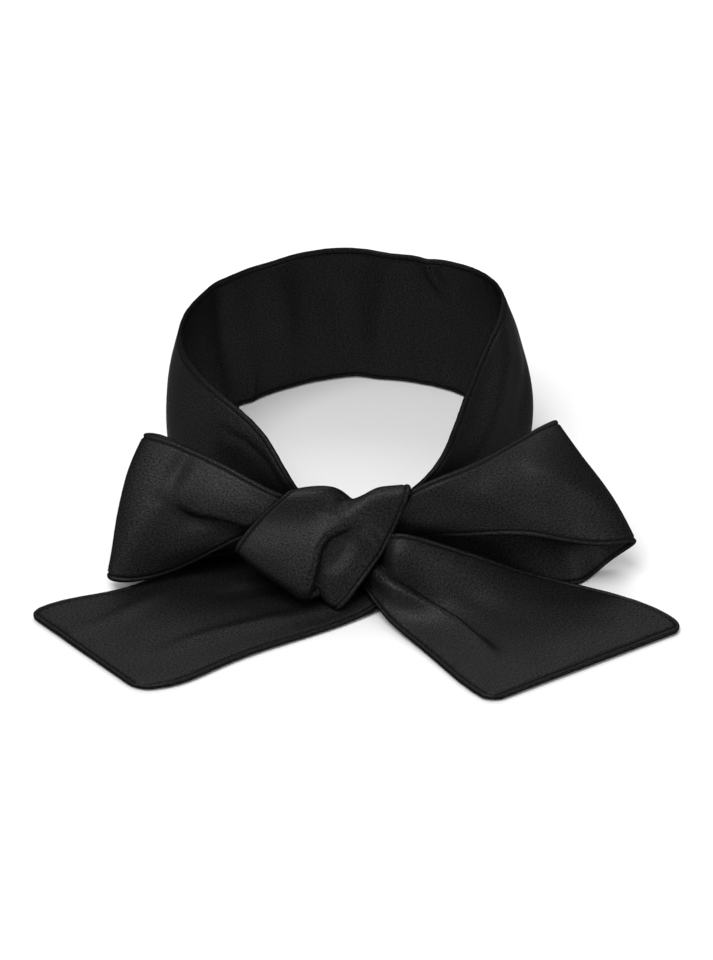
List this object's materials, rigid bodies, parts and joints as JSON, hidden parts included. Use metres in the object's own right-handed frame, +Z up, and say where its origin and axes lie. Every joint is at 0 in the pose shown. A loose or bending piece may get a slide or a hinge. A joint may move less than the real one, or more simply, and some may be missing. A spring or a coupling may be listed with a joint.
{
  "type": "bow tie",
  "caption": "Soft black satin neck scarf tied in a floppy bow, with an open neck ring, two loops and two loose tails.",
  "frame": {"origin": "centre of the neck opening, on the surface the tie rests on", "axes": "+Z up, +X along the bow from the left tail to the right tail as seen from the front, +Y from the knot to the back of the neck"},
  "size_m": [0.219, 0.1939, 0.0582],
  "materials": {
    "satin_outer": "black satin, soft sheen",
    "satin_inner": "black satin, soft sheen",
    "gathered_satin": "black satin, gathered",
    "interlining": "dark woven interlining",
    "seam_thread": "black sewing thread"
  },
  "bodies": {
    "neck_ring": {"neckband_outer_satin": "satin_outer", "neckband_interlining": "interlining", "neckband_inner_satin": "satin_inner", "neckband_lower_seam": "seam_thread", "neckband_upper_seam": "seam_thread", "knot_wrap_outer_satin": "satin_outer", "knot_wrap_interlining": "interlining", "knot_wrap_inner_satin": "satin_inner", "knot_wrap_lower_seam": "seam_thread", "knot_wrap_upper_seam": "seam_thread", "knot_upper_strand": "gathered_satin", "knot_lower_strand": "gathered_satin"},
    "left_loop": {"left_loop_outer_satin": "satin_outer", "left_loop_interlining": "interlining", "left_loop_inner_satin": "satin_inner", "left_loop_lower_seam": "seam_thread", "left_loop_upper_seam": "seam_thread"},
    "right_loop": {"right_loop_outer_satin": "satin_outer", "right_loop_interlining": "interlining", "right_loop_inner_satin": "satin_inner", "right_loop_lower_seam": "seam_thread", "right_loop_upper_seam": "seam_thread"},
    "left_tail": {"left_tail_outer_satin": "satin_outer", "left_tail_interlining": "interlining", "left_tail_inner_satin": "satin_inner", "left_tail_lower_seam": "seam_thread", "left_tail_upper_seam": "seam_thread"},
    "right_tail": {"right_tail_outer_satin": "satin_outer", "right_tail_interlining": "interlining", "right_tail_inner_satin": "satin_inner", "right_tail_lower_seam": "seam_thread", "right_tail_upper_seam": "seam_thread"}
  },
  "joints": [
    {"name": "left_loop_lift", "type": "hinge", "parent": "neck_ring", "child": "left_loop", "pos_m": [-0.027, -0.065, 0.026], "axis": [0, 1, 0], "range_deg": [0, 35]},
    {"name": "right_loop_lift", "type": "hinge", "parent": "neck_ring", "child": "right_loop", "pos_m": [0.025, -0.065, 0.027], "axis": [0, -1, 0], "range_deg": [0, 35]},
    {"name": "left_tail_swing", "type": "hinge", "parent": "neck_ring", "child": "left_tail", "pos_m": [-0.017, -0.0725, 0.0015], "axis": [-0.8127, 0.5828, 0], "range_deg": [-80, 0]},
    {"name": "right_tail_swing", "type": "hinge", "parent": "neck_ring", "child": "right_tail", "pos_m": [0.012, -0.087, 0.004], "axis": [-0.6, -0.8, 0], "range_deg": [-80, 0]}
  ]
}
